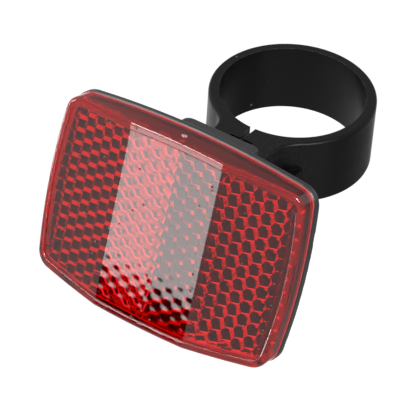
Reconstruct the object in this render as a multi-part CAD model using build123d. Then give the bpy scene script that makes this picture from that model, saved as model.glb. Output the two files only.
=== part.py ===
from build123d import *
import math
import os

# Bicycle rear reflector on a seat post clamp, in millimetres.
# +Z runs up along the seat post. The origin is on the post's axis, at half the height of the
# clamp band. The reflector faces -Y, and +X is on the right of someone behind the bicycle.
# The reflector is drawn flat, with its own X across it, Y up its face and Z out of its face,
# and is then leaned on the clamp screw to the angle of its seat post.

# Clamp band, one split moulding
post_diameter = 31.8
band_wall = 2.3
band_height = 16.0
band_edge_radius = 0.8
slit_at_post = 1.3
slit_at_fork = 0.7

# Ears of the band
ear_left_width = 7.0
ear_right_width = 7.7
flare_left_radius = 5.5
flare_right_radius = 10.0
ear_top_reach = 24.2
ear_nose_radius = 6.3
ear_waist_radius = 2.5
throat_wall = 4.4

# Blocks low on the ears, for the screw's head and the nut
block_half_width = 12.0
block_half_height = 4.65
block_edge_radius = 0.5
nut_pocket_depth = 3.6
nut_pocket_play = 0.1

# Clamp screw and nut
screw_reach = 25.2
screw_drop = 3.3
screw_diameter = 4.0
screw_length = 25.0
screw_tip_chamfer = 0.5
head_diameter = 8.0
head_height = 3.1
head_crown_radius = 1.9
recess_size = 4.2
recess_wing = 1.1
recess_depth = 2.2
recess_draft = 8.0
nut_across_flats = 7.0
nut_height = 3.2
nut_corner_chamfer = 0.4
thread_play = 0.05
hole_play = 0.1

# Place of the reflector on the screw
lean = 16.0
hinge_depth = 18.7
hinge_height = 2.14

# Lens, one clear red moulding with three facets
lens_half_width = 29.8
lens_half_height = 21.6
lens_depth = 8.0
long_edge_bow = 1.97
short_edge_bow = 1.42
lens_corner_radius = 3.9
lens_edge_radius = 0.9
facet_half_width = 11.0
facet_slope = 11.6
rim_at_sides = 1.44
rim_at_top = 1.7
window_corner_radius = 2.7
window_recess = 0.35
lens_side_wall = 1.8
lens_front_wall = 1.6

# Corner-cube prisms behind the window
prism_pitch = 2.89
prism_step = 0.15
prism_margin = 0.8
prism_root = 1.0

# The four zones of prisms: how their cubes are turned and tilted, and where one prism stands
left_side_turn = 60.0
left_side_tilt = 9.0
left_side_towards = 180.0
left_side_prism = (-19.55, 0.23)
left_middle_turn = 0.0
left_middle_tilt = 12.0
left_middle_towards = 60.0
left_middle_prism = (-5.18, 1.6)
right_middle_turn = 60.0
right_middle_tilt = 6.0
right_middle_towards = 270.0
right_middle_prism = (5.27, 3.59)
right_side_turn = 60.0
right_side_tilt = 9.0
right_side_towards = 285.0
right_side_prism = (18.99, -0.69)

# Back cover, one moulding with its boss and hinge tongue
cover_overhang_side = 0.33
cover_overhang_top = 0.19
cover_corner_radius = 4.5
cover_thickness = 2.15
cover_edge_radius = 0.7
cover_gap_line = 0.25
lip_height = 1.2
lip_wall = 1.2
lip_play = 0.15
boss_half_width = 9.1
boss_top = 18.2
boss_bottom = 13.9
boss_depth = 12.0
boss_wall = 1.9
boss_side_radius = 1.8
boss_edge_radius = 0.6
tongue_thickness = 5.6
tongue_play = 0.15
tongue_eye_radius = 4.5
tongue_root_half = 7.0

bore_radius = post_diameter / 2
band_radius = bore_radius + band_wall
half_band = band_height / 2
fork_start = bore_radius + throat_wall
fork_half = tongue_thickness / 2 + tongue_play
hole_radius = screw_diameter / 2 + hole_play
slope = math.radians(facet_slope)
column_step = prism_pitch * math.sqrt(3) / 2
prism_rise = prism_pitch / math.sqrt(6)
prism_level = lens_depth - window_recess - lens_front_wall
same_point = 1e-6
cell_grid = prism_pitch / 100


def on_screw(x):
    """Point on the clamp screw's axis."""
    return Vector(x, -screw_reach, -screw_drop)


def reflector_plane():
    """Plane of the lens's rear edge, centred on the reflector, as it leans on the screw."""
    turn = math.radians(lean)
    out = Vector(0, -math.cos(turn), math.sin(turn))
    up = Vector(0, math.sin(turn), math.cos(turn))
    centre = on_screw(0) + out * hinge_depth - up * hinge_height
    return Plane(origin=centre, x_dir=(1, 0, 0), z_dir=out)


def box_between(low, high):
    """Box from its lowest corner to its highest."""
    size = [b - a for a, b in zip(low, high)]
    middle = [(a + b) / 2 for a, b in zip(low, high)]
    return Pos(*middle) * Box(*size)


def in_level(edges, level):
    """Edges that lie flat at one height."""
    return ShapeList(
        e for e in edges
        if abs(e.bounding_box().min.Z - level) < 0.01 and abs(e.bounding_box().max.Z - level) < 0.01
    )


def ear_profile():
    """Side view of the ears: full height up to their top, then a round nose about the screw."""
    back = band_radius + 1
    with BuildSketch() as view:
        with BuildLine():
            Polyline(
                (back, -half_band), (back, half_band),
                (-ear_top_reach, half_band), (-ear_top_reach, -half_band),
                close=True,
            )
        make_face()
        with Locations((-screw_reach, -screw_drop)):
            Circle(ear_nose_radius)
        waist_z = math.sqrt(ear_nose_radius**2 - (screw_reach - ear_top_reach) ** 2) - screw_drop
        waist = view.vertices().sort_by_distance((-ear_top_reach, waist_z, 0))[0]
        fillet(waist, ear_waist_radius)
        Rectangle(4 * band_radius, band_height, mode=Mode.INTERSECT)
    return view.sketch


def block_profile():
    """Side view of the blocks: level on top, and as round at the front as the ears."""
    low = -half_band
    high = block_half_height - screw_drop
    inner = screw_reach - bore_radius + band_wall
    with BuildSketch() as view:
        with Locations((-screw_reach, -screw_drop)):
            Circle(ear_nose_radius)
            Rectangle(inner, 2 * ear_nose_radius, align=(Align.MIN, Align.CENTER))
        with Locations((-screw_reach, (low + high) / 2)):
            Rectangle(4 * band_radius, high - low, mode=Mode.INTERSECT)
    return view.sketch


def band_plan():
    """Top view of the band with its two ears, each flared into the ring."""
    reach = screw_reach + ear_nose_radius
    with BuildSketch() as plan:
        Circle(band_radius)
        with Locations(((ear_right_width - ear_left_width) / 2, -reach / 2)):
            Rectangle(ear_left_width + ear_right_width, reach)
        for x, radius in ((-ear_left_width, flare_left_radius), (ear_right_width, flare_right_radius)):
            root = (x, -math.sqrt(band_radius**2 - x**2), 0)
            fillet(plan.vertices().sort_by_distance(root)[0], radius)
    return plan.sketch


def slit_and_fork():
    """Space between the ears: a narrow slit that tapers, then the fork for the tongue."""
    post_half = slit_at_post / 2
    end_half = slit_at_fork / 2
    right = [(post_half, 0), (post_half, -bore_radius), (end_half, -fork_start), (end_half, -screw_reach)]
    left = [(-x, y) for x, y in reversed(right)]
    depth = screw_reach + ear_nose_radius - fork_start
    with BuildSketch() as plan:
        Polygon(*right, *left, align=None)
        with Locations((0, -fork_start)):
            Rectangle(2 * fork_half, depth, align=(Align.CENTER, Align.MAX))
    return extrude(plan.sketch, band_height, both=True)


def hexagon_prism(across_flats, height):
    """Hexagonal prism along Z, with two of its flats facing along Y."""
    return extrude(RegularPolygon(across_flats / 2, 6, major_radius=False), height)


def make_clamp_band():
    """Ring, ears, blocks, slit, fork, screw hole and nut pocket, as one moulding."""
    body = extrude(Pos(0, 0, -half_band) * band_plan(), band_height)
    body &= extrude(Plane.YZ * ear_profile(), 2 * band_radius, both=True)
    for level in (half_band, -half_band):
        body = fillet(in_level(body.edges(), level), band_edge_radius)

    block = extrude(Plane.YZ * block_profile(), block_half_width, both=True)
    block = fillet(block.faces().filter_by(Axis.X).edges(), block_edge_radius)
    body += block
    body -= Cylinder(bore_radius, 2 * band_height)
    body -= slit_and_fork()

    hole = Plane(origin=on_screw(-2 * block_half_width), x_dir=(0, 1, 0), z_dir=(1, 0, 0))
    body -= hole * extrude(Circle(hole_radius), 4 * block_half_width)
    seat = on_screw(nut_pocket_depth - block_half_width)
    pocket = Plane(origin=seat, x_dir=(0, 1, 0), z_dir=(-1, 0, 0))
    body -= pocket * hexagon_prism(nut_across_flats + 2 * nut_pocket_play, 2 * nut_pocket_depth)
    return body


def make_clamp_screw():
    """Pan head screw with a cross recess, its head on the right-hand block."""
    seat = Plane(origin=on_screw(block_half_width), x_dir=(0, 1, 0), z_dir=(1, 0, 0))
    shank = extrude(Circle(screw_diameter / 2), -screw_length)
    shank = chamfer(in_level(shank.edges(), -screw_length), screw_tip_chamfer)
    head = extrude(Circle(head_diameter / 2), head_height)
    head = fillet(in_level(head.edges(), head_height), head_crown_radius)
    cross = Rectangle(recess_size, recess_wing) + Rectangle(recess_wing, recess_size)
    recess = extrude(Pos(0, 0, head_height) * cross, -recess_depth, taper=recess_draft)
    return seat * (shank + head - recess)


def make_clamp_nut():
    """Hexagonal nut, seated at the bottom of its pocket in the left-hand block."""
    seat = on_screw(nut_pocket_depth - block_half_width)
    corner_radius = nut_across_flats / math.sqrt(3)
    rounding = extrude(Circle(corner_radius), nut_height)
    rounding = chamfer(rounding.edges().filter_by(GeomType.CIRCLE), nut_corner_chamfer)
    nut = hexagon_prism(nut_across_flats, nut_height) & rounding
    nut -= Cylinder(screw_diameter / 2 + thread_play, 4 * nut_height)
    return Plane(origin=seat, x_dir=(0, 1, 0), z_dir=(-1, 0, 0)) * nut


def bowed_outline(half_width, half_height, corner_radius):
    """Rounded rectangle whose four edges bow outwards."""
    x = half_width - short_edge_bow
    y = half_height - long_edge_bow
    with BuildSketch() as outline:
        with BuildLine():
            ThreePointArc((-x, y), (0, half_height), (x, y))
            ThreePointArc((x, y), (half_width, 0), (x, -y))
            ThreePointArc((x, -y), (0, -half_height), (-x, -y))
            ThreePointArc((-x, -y), (-half_width, 0), (-x, y))
        make_face()
        fillet(outline.vertices(), corner_radius)
    return outline.sketch


def under_facets(outline, bottom, drop):
    """Solid over an outline, from a flat bottom up to the three facets lowered by a drop."""
    reach = lens_half_width + lens_side_wall
    crown = lens_depth - drop
    end = crown - (reach - facet_half_width) * math.tan(slope)
    view = Polygon(
        (-reach, bottom), (reach, bottom), (reach, end),
        (facet_half_width, crown), (-facet_half_width, crown), (-reach, end),
        align=None,
    )
    roof = extrude(Plane.XZ * view, 2 * lens_half_height, both=True)
    column = extrude(Pos(0, 0, bottom) * outline, crown - bottom)
    return column & roof


def window_outline(inset):
    """Outline of the recessed window, or of what lies inside it by an inset."""
    return bowed_outline(
        lens_half_width - rim_at_sides - inset,
        lens_half_height - rim_at_top - inset,
        window_corner_radius,
    )


def flat_face(*points):
    """Flat face with the given corners."""
    return Face(Wire.make_polygon(points))


def tilted_cube(turn, tilt, towards):
    """Unit normals of a cube corner's three faces, after its axis is tipped towards a direction."""
    upright = Vector(0, 0, 1).rotate(Axis.Y, math.degrees(math.acos(1 / math.sqrt(3))))
    side = math.radians(towards)
    tip = Axis((0, 0, 0), (-math.sin(side), math.cos(side), 0))
    return [upright.rotate(Axis.Z, turn + 120 * k).rotate(tip, tilt) for k in range(3)]


def face_height(normal, x, y):
    """Height above the apex at which one face of the cube passes over a point."""
    return -(normal.X * x + normal.Y * y) / normal.Z


def hexagon_corner(k):
    """Corner of a cell's hexagon, from its middle."""
    turn = math.radians(60 * k)
    radius = prism_pitch / math.sqrt(3)
    return (radius * math.cos(turn), radius * math.sin(turn))


def cell_side(cube, k):
    """Edge of the prism over one side of its cell: its ends, bends and meetings with the next cell."""
    ends = (hexagon_corner(k), hexagon_corner(k + 1))
    next_x = ends[0][0] + ends[1][0]
    next_y = ends[0][1] + ends[1][1]
    own = [[face_height(n, x, y) for x, y in ends] for n in cube]
    other = [[face_height(n, x - next_x, y - next_y) for x, y in ends] for n in cube]

    def top(lines, share):
        return max(a + (b - a) * share for a, b in lines)

    shares = {0.0, 1.0}
    for a, b in own:
        for lines in (own, other):
            for c, d in lines:
                if (a - c) * (b - d) > -(same_point**2):
                    continue
                share = (a - c) / (a - c - b + d)
                level = a + (b - a) * share
                if abs(level - top(own, share)) + abs(level - top(lines, share)) < same_point:
                    shares.add(share)
    shares = sorted(shares)
    (x1, y1), (x2, y2) = ends
    return [
        Vector(x1 + (x2 - x1) * share, y1 + (y2 - y1) * share, top(own, share) - 2 * prism_rise)
        for before, share in zip([-1.0] + shares, shares)
        if share - before > same_point
    ]


def prism_faces(cube, sides):
    """Corners of the three faces of one prism, each from the apex round part of the cell's edge."""
    apex = Vector(0, 0, -2 * prism_rise)
    ring = [point for side in sides for point in side[:-1]]
    count = len(ring)
    outlines = []
    for normal in cube:
        on_face = [abs((point - apex).dot(normal)) < same_point for point in ring]
        first = next(i for i in range(count) if on_face[i] and not on_face[i - 1])
        run = [apex]
        while on_face[first % count]:
            run.append(ring[first % count])
            first += 1
        outlines.append(run)
    return outlines


def upright_faces(near, far, levels):
    """Upright faces between two lines over one side of a cell, apart where the lines meet."""
    def meets(line, others):
        inner = [i for i, p in enumerate(line) if any((p - q).length < same_point for q in others)]
        return [0] + inner + [len(line) - 1]

    def rise(start, end):
        low, high = sorted((start.Z, end.Z))
        between = [z for z in levels[cell_key(start)] if low + same_point < z < high - same_point]
        return [Vector(start.X, start.Y, z) for z in sorted(between, reverse=start.Z > end.Z)]

    faces = []
    near_cuts = meets(near, far)
    far_cuts = meets(far, near)
    for a, b, c, d in zip(near_cuts, near_cuts[1:], far_cuts, far_cuts[1:]):
        outline = near[a:b + 1]
        if b == len(near) - 1:
            outline += rise(near[b], far[d])
        outline += far[c:d + 1][::-1]
        if a == 0:
            outline += rise(far[c], near[a])
        corners = [p for i, p in enumerate(outline) if (p - outline[i - 1]).length > same_point]
        if len(corners) > 2:
            faces.append(flat_face(*corners))
    return faces


def cell_key(point):
    """Name of a cell's corner, the same for the cells that share it."""
    return (round(point.X / cell_grid), round(point.Y / cell_grid))


def prism_field(cells, cube):
    """Solid of corner-cube prisms that point down from Z = 0, one for each (column, row) cell."""
    top = prism_step + prism_root
    sides = [cell_side(cube, k) for k in range(6)]
    placed = {cell: Vector(*cell_centre(*cell)) for cell in cells}
    levels = {}
    for centre in placed.values():
        for side in sides:
            corner = centre + side[0]
            levels.setdefault(cell_key(corner), set()).add(corner.Z)

    faces = []
    for (column, row), centre in placed.items():
        for outline in prism_faces(cube, sides):
            faces.append(flat_face(*[centre + point for point in outline]))
        rim = [Vector(centre.X + x, centre.Y + y, top) for x, y in map(hexagon_corner, range(6))]
        faces.append(flat_face(*rim))
        for k, (across, up) in enumerate(neighbour_steps(column)):
            neighbour = (column + across, row + up)
            near = [centre + point for point in sides[k]]
            if neighbour not in cells:
                faces += upright_faces(near, [rim[k], rim[(k + 1) % 6]], levels)
            elif k < 3:
                far = [placed[neighbour] + point for point in reversed(sides[k + 3])]
                faces += upright_faces(near, far, levels)
    return Solid(Shell(faces))


def cell_centre(column, row):
    """Middle of a cell from the zone's first one: odd columns stand half a pitch higher."""
    return (column * column_step, (row + 0.5 * (column % 2)) * prism_pitch)


def neighbour_steps(column):
    """Steps in (column, row) to the cells across each of the six sides, from 30 degrees on."""
    high = column % 2
    return [(1, high), (0, 1), (-1, high), (-1, high - 1), (0, -1), (1, high - 1)]


def cells_within(area, first, squeeze, low_x, high_x):
    """Cells of a zone that lie wholly inside an area, up to one column past the zone's own width."""
    columns = int(2 * lens_half_width / column_step)
    rows = int(2 * lens_half_height / prism_pitch)
    corners = [hexagon_corner(k) for k in range(6)]
    found = set()
    for column in range(-columns, columns + 1):
        for row in range(-rows, rows + 1):
            x, y = cell_centre(column, row)
            x = first[0] + x * squeeze
            y += first[1]
            if not low_x - column_step < x < high_x + column_step:
                continue
            if all(area.is_inside((x + across * squeeze, y + up, 0)) for across, up in corners):
                found.add((column, row))
    return found


def prism_zone(turn, tilt, towards, first, low_x, high_x, sloping):
    """Prisms of one zone, from low_x to high_x, whose base slopes down from its inner end or is level."""
    far = 2 * lens_half_width
    hinge_x = facet_half_width * sloping
    squeeze = math.cos(slope * sloping)
    place = Pos(hinge_x, 0, prism_level - prism_step) * Rot(0, facet_slope * sloping, 0)
    place *= Pos((first[0] - hinge_x) / squeeze, first[1], 0)
    cells = cells_within(window_outline(prism_margin).face(), first, squeeze, low_x, high_x)
    field = place * prism_field(cells, tilted_cube(turn, tilt, towards))
    return field & box_between((low_x, -far, -far), (high_x, far, far))


def make_prisms():
    """Prisms in four zones: two under the middle facet and one under each side facet."""
    far = 2 * lens_half_width
    kink = facet_half_width
    return [
        prism_zone(left_side_turn, left_side_tilt, left_side_towards, left_side_prism, -far, -kink, -1),
        prism_zone(
            left_middle_turn, left_middle_tilt, left_middle_towards, left_middle_prism, -kink, 0, 0),
        prism_zone(
            right_middle_turn, right_middle_tilt, right_middle_towards, right_middle_prism, 0, kink, 0),
        prism_zone(right_side_turn, right_side_tilt, right_side_towards, right_side_prism, kink, far, 1),
    ]


def make_lens():
    """Three-faceted lens with a raised rim, hollow behind, with prisms inside its front wall."""
    outline = bowed_outline(lens_half_width, lens_half_height, lens_corner_radius)
    body = under_facets(outline, 0, 0)
    front = ShapeList(f for f in body.faces() if f.normal_at().Z > 0.5)
    kinks = [e for e in front.edges() if abs(abs(e.center().X) - facet_half_width) < 0.01]
    rim = ShapeList(e for e in front.edges() if e not in kinks)
    body = fillet(rim, lens_edge_radius)

    above = extrude(window_outline(0), 2 * lens_depth)
    body -= above - under_facets(outline, -lens_depth, window_recess)
    inner = bowed_outline(
        lens_half_width - lens_side_wall,
        lens_half_height - lens_side_wall,
        lens_corner_radius - lens_side_wall,
    )
    body -= under_facets(inner, -lens_depth, window_recess + lens_front_wall)
    for zone in make_prisms():
        body += zone
    return reflector_plane().location * body


def make_back_cover():
    """Plate with a locating lip for the lens, a hollow boss and the tongue that the ears pinch."""
    outline = bowed_outline(
        lens_half_width + cover_overhang_side,
        lens_half_height + cover_overhang_top,
        cover_corner_radius,
    )
    plate = extrude(outline, -cover_thickness)
    plate = fillet(in_level(plate.edges(), -cover_thickness), cover_edge_radius)
    plate = chamfer(in_level(plate.edges(), 0), cover_gap_line)

    gap = lens_side_wall + lip_play
    lip_outer = bowed_outline(lens_half_width - gap, lens_half_height - gap, lens_corner_radius - gap)
    gap += lip_wall
    lip_inner = bowed_outline(lens_half_width - gap, lens_half_height - gap, lens_corner_radius - gap / 2)
    lip = extrude(lip_outer - lip_inner, lip_height)

    boss = box_between((-boss_half_width, -boss_bottom, -boss_depth), (boss_half_width, boss_top, 0))
    rear = in_level(boss.edges(), -boss_depth)
    boss = fillet(rear.filter_by(Axis.Y), boss_side_radius)
    boss = fillet(in_level(boss.edges(), -boss_depth).filter_by(Axis.X), boss_edge_radius)
    hollow = box_between(
        (boss_wall - boss_half_width, boss_wall - boss_bottom, boss_wall - boss_depth),
        (boss_half_width - boss_wall, boss_top - boss_wall, lip_height),
    )

    with BuildSketch() as side:
        with BuildLine():
            Polyline(
                (hinge_height - tongue_root_half, -boss_depth + boss_wall / 2),
                (hinge_height + tongue_root_half, -boss_depth + boss_wall / 2),
                (hinge_height + tongue_root_half, -boss_depth),
                (hinge_height + tongue_eye_radius, -hinge_depth),
                (hinge_height - tongue_eye_radius, -hinge_depth),
                (hinge_height - tongue_root_half, -boss_depth),
                close=True,
            )
        make_face()
        with Locations((hinge_height, -hinge_depth)):
            Circle(tongue_eye_radius)
            Circle(screw_diameter / 2 + thread_play, mode=Mode.SUBTRACT)
    tongue = extrude(Plane.YZ * side.sketch, tongue_thickness / 2, both=True)

    body = plate + boss + lip - hollow + tongue
    return reflector_plane().location * body


pieces = {
    "clamp_band": make_clamp_band,
    "clamp_screw": make_clamp_screw,
    "clamp_nut": make_clamp_nut,
    "back_cover": make_back_cover,
    "lens": make_lens,
}

os.makedirs("parts", exist_ok=True)
for name, make in pieces.items():
    piece = make()
    solids = piece.solids()
    print(name, len(solids), "solid", round(piece.volume, 1), "mm3", "valid" if piece.is_valid else "NOT VALID")
    export_step(solids[0] if len(solids) == 1 else piece, f"parts/{name}.step")
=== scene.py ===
# %% [markdown]
# # A bicycle rear reflector on its seat post clamp
#
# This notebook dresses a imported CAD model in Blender. The model has five pieces: a split band that
# goes round the seat post, the cross screw and nut that pinch its ears, a black back cover with a
# hinge tongue, and a clear red lens whose inside is a field of corner-cube prisms.
# The CAD pieces hold the true shapes, so most of the work here is light and material.

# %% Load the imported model
import math
import random

import bmesh
import bpy
from mathutils import Matrix, Vector


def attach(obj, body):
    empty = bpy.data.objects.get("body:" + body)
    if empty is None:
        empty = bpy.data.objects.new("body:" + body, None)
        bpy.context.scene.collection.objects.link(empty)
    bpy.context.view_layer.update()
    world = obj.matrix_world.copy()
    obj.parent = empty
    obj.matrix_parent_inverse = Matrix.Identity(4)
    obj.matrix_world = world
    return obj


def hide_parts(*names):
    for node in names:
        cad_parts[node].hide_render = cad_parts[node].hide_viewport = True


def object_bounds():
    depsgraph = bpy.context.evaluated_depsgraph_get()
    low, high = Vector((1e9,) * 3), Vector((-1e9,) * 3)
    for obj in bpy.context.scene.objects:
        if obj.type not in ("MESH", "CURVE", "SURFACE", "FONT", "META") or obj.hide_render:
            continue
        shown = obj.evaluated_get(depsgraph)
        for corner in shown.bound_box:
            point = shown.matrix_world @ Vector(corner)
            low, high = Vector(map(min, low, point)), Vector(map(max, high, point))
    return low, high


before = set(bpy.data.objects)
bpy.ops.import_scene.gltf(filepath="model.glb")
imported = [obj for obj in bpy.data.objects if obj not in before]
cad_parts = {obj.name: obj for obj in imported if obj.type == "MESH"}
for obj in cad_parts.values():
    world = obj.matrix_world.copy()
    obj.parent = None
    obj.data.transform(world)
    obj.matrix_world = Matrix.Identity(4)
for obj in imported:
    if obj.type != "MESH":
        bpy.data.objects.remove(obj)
cad_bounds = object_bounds()
MM = 0.001
print("nodes:", ", ".join(sorted(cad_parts)))

# %% [markdown]
# ## The camera
#
# The picture was taken with a long lens from the object's right, above it and in front. A camera
# is easiest to place by the point it looks at, the two angles it looks from and its distance. Its
# small roll is a turn about its own line of sight.

# %% Place the camera
look_at = Vector((-7.6, -22.9, -10.9)) * MM
view_azimuth = math.radians(31.51)
view_elevation = math.radians(39.42)
view_roll = math.radians(3.67)
view_distance = 511.5 * MM
focal_length = 214.2

towards_camera = Vector((
    math.sin(view_azimuth) * math.cos(view_elevation),
    -math.cos(view_azimuth) * math.cos(view_elevation),
    math.sin(view_elevation),
))
camera = bpy.data.objects.new("camera", bpy.data.cameras.new("camera"))
bpy.context.scene.collection.objects.link(camera)
camera.data.lens = focal_length
camera.data.clip_start = 0.01
turn = towards_camera.to_track_quat("Z", "Y").to_matrix() @ Matrix.Rotation(view_roll, 3, "Z")
camera.matrix_world = Matrix.Translation(look_at + towards_camera * view_distance) @ turn.to_4x4()
bpy.context.scene.camera = camera
print("camera at", [round(x / MM, 1) for x in camera.location], "mm")

# %% [markdown]
# ## The light
#
# A product picture on white is lit from all round. Here the world is a plain white room. What the
# camera, a mirror reflection or a look through clear plastic meets is full white, and what falls on
# dull surfaces is a little less, so that a colour renders about as it is written.
#
# The middle facet of the lens mirrors a softbox, which stands in front and to the left and ends
# just below the horizon over a dark card. The softbox only shows in polished surfaces: as a lamp
# on everything it would wash out the red.

# %% A white room
scene = bpy.context.scene
scene.view_settings.view_transform = "Standard"
scene.cycles.max_bounces = 32
scene.cycles.glossy_bounces = 24
scene.cycles.transmission_bounces = 32
scene.cycles.diffuse_bounces = 4
room_level = 0.75


def seen_directly(tree):
    """1 where a camera, mirror or clear-plastic ray looks, and 0 for light on dull surfaces."""
    path = tree.nodes.new("ShaderNodeLightPath")
    first = tree.nodes.new("ShaderNodeMath")
    first.operation = "MAXIMUM"
    second = tree.nodes.new("ShaderNodeMath")
    second.operation = "MAXIMUM"
    tree.links.new(path.outputs["Is Camera Ray"], first.inputs[0])
    tree.links.new(path.outputs["Is Glossy Ray"], first.inputs[1])
    tree.links.new(first.outputs["Value"], second.inputs[0])
    tree.links.new(path.outputs["Is Transmission Ray"], second.inputs[1])
    return second.outputs["Value"]


world = bpy.data.worlds.new("white_room")
scene.world = world
world.use_nodes = True
sky = world.node_tree.nodes["Background"]
sky.inputs["Color"].default_value = (1, 1, 1, 1)
level = world.node_tree.nodes.new("ShaderNodeMapRange")
level.inputs["To Min"].default_value = room_level
level.inputs["To Max"].default_value = 1.0
world.node_tree.links.new(seen_directly(world.node_tree), level.inputs["Value"])
world.node_tree.links.new(level.outputs["Result"], sky.inputs["Strength"])
print("room level on dull surfaces", room_level)

# %% A softbox and the dark card under it
softbox_azimuth = math.radians(-24.3)
softbox_roll = math.radians(-4)
softbox_distance = 1.0
softbox_width = 0.62
softbox_height = 1.1
softbox_level = 5.9
soft_edge = 0.008
edge_across = 0.0105
edge_height = -0.2392
card_depth = 0.3


def area_lamp(name, width, height, level, place):
    """A rectangular lamp that only polished or satin surfaces show."""
    data = bpy.data.lights.new(name, "AREA")
    data.shape = "RECTANGLE"
    data.size = width
    data.size_y = height
    data.energy = level * math.pi * width * height
    light = bpy.data.objects.new(name, data)
    scene.collection.objects.link(light)
    light.matrix_world = place
    light.visible_camera = False
    light.visible_diffuse = False
    light.visible_transmission = False
    return light


def flat_card(name, width, height, place):
    """A rectangle without a shadow, unseen by the camera and by dull surfaces."""
    shape = bmesh.new()
    bmesh.ops.create_grid(shape, x_segments=1, y_segments=1, size=0.5)
    bmesh.ops.scale(shape, vec=(width, height, 1), verts=shape.verts)
    bmesh.ops.transform(shape, matrix=place, verts=shape.verts)
    mesh = bpy.data.meshes.new(name)
    shape.to_mesh(mesh)
    shape.free()
    card = bpy.data.objects.new(name, mesh)
    scene.collection.objects.link(card)
    card.visible_camera = False
    card.visible_diffuse = False
    card.visible_shadow = False
    return card


# The softbox's lower edge and the card's upper edge are the same line, which the lens mirrors
ahead = Vector((math.sin(softbox_azimuth), -math.cos(softbox_azimuth), 0))
edge_middle = ahead * softbox_distance
edge_middle += Vector((-ahead.y, ahead.x, 0)) * edge_across + Vector((0, 0, edge_height))
facing = ahead.to_track_quat("Z", "Y").to_matrix() @ Matrix.Rotation(softbox_roll, 3, "Z")
at_edge = Matrix.Translation(edge_middle) @ facing.to_4x4()

over_edge = at_edge @ Matrix.Translation((0, softbox_height / 2, 0))
softbox = area_lamp("softbox", softbox_width, softbox_height, softbox_level, over_edge)
softbox.data.use_nodes = True
tree = softbox.data.node_tree
place = tree.nodes.new("ShaderNodeNewGeometry")
split = tree.nodes.new("ShaderNodeSeparateXYZ")
fade = tree.nodes.new("ShaderNodeMapRange")
fade.interpolation_type = "SMOOTHSTEP"
fade.inputs["From Max"].default_value = soft_edge
tree.links.new(place.outputs["Parametric"], split.inputs["Vector"])
tree.links.new(split.outputs["Y"], fade.inputs["Value"])
tree.links.new(fade.outputs["Result"], tree.nodes["Emission"].inputs["Strength"])

under_edge = at_edge @ Matrix.Translation((0, -card_depth / 2, 0))
card = flat_card("dark_card", softbox_width, card_depth, under_edge)
print("softbox at", [round(x, 2) for x in softbox.location], "m")

# %% [markdown]
# A few smaller things shape the edges. A top light on the right draws a thin bright line along the
# rounded edges of the band. A light overhead and one far to the left draw the lines in the rounded
# inner edge of the lens's rim. Two grey cards, behind and at the right, keep the lens's upper and
# right-hand walls from mirroring the white room at a flat angle, so that their red shows.

# %% Edge lights and grey cards
def edge_light(name, direction, width, height, level):
    """A lamp one metre off in a given direction, facing the part."""
    source = Vector(direction).normalized()
    turn = source.to_track_quat("Z", "Y").to_matrix().to_4x4()
    area_lamp(name, width, height, level, Matrix.Translation(source) @ turn)
    print(name, "at", [round(x, 2) for x in source], "m")


edge_light("top_light", direction=(0.58, -0.32, 0.74), width=0.4, height=0.4, level=20.0)
edge_light("overhead_light", direction=(-0.404, -0.25, 0.88), width=0.8, height=0.22, level=16.0)
edge_light("left_light", direction=(-0.853, -0.408, -0.30), width=0.16, height=0.9, level=16.0)


def grey_card(name, place, width, height):
    """A card that only reflections meet, facing the part."""
    turn = Vector(place).to_track_quat("Z", "Y").to_matrix().to_4x4()
    card = flat_card(name, width, height, Matrix.Translation(place) @ turn)
    card.visible_transmission = False
    print(name, "at", place, "m")
    return card.data


grey_cards = [
    grey_card("card_behind", place=(-0.404, 0.896, 0.22), width=1.3, height=0.6),
    grey_card("card_beside", place=(0.18, 0.17, -0.18), width=0.45, height=0.42),
]

# %% [markdown]
# A corner cube sends light back the way it came, so some prisms show whatever stands at the
# camera: the dark camera itself. A real one is out of its own sight, and so is this disc, which
# only the lens can see.

# %% The camera's own dark front
camera_radius = 0.16
disc_sides = 48

disc_mesh = bpy.data.meshes.new("camera_front")
disc_shape = bmesh.new()
bmesh.ops.create_circle(disc_shape, cap_ends=True, segments=disc_sides, radius=camera_radius)
bmesh.ops.transform(disc_shape, matrix=camera.matrix_world, verts=disc_shape.verts)
disc_shape.to_mesh(disc_mesh)
disc_shape.free()
disc = bpy.data.objects.new("camera_front", disc_mesh)
scene.collection.objects.link(disc)
disc.visible_camera = False
disc.visible_diffuse = False
disc.visible_glossy = False
disc.visible_shadow = False
print("camera front", camera_radius, "m in radius")

# %% [markdown]
# The floor lies well below the part, so that hardly any of the part's shadow shows on it. It also
# glows a little towards the camera and in reflections, so that it comes out white like the room.

# %% A pale floor
floor_drop = 0.3
floor_glow = 0.35
floor_reach = 3.0


def bare_material(name, color, roughness):
    """A material with one Principled shader, and that shader."""
    material = bpy.data.materials.new(name)
    material.use_nodes = True
    shader = material.node_tree.nodes["Principled BSDF"]
    shader.inputs["Base Color"].default_value = (*color, 1)
    shader.inputs["Roughness"].default_value = roughness
    return material, shader


def dull_grey(name, level):
    """A grey material without any shine."""
    material, shader = bare_material(name, (level, level, level), 1.0)
    shader.inputs["Specular IOR Level"].default_value = 0
    return material


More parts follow.
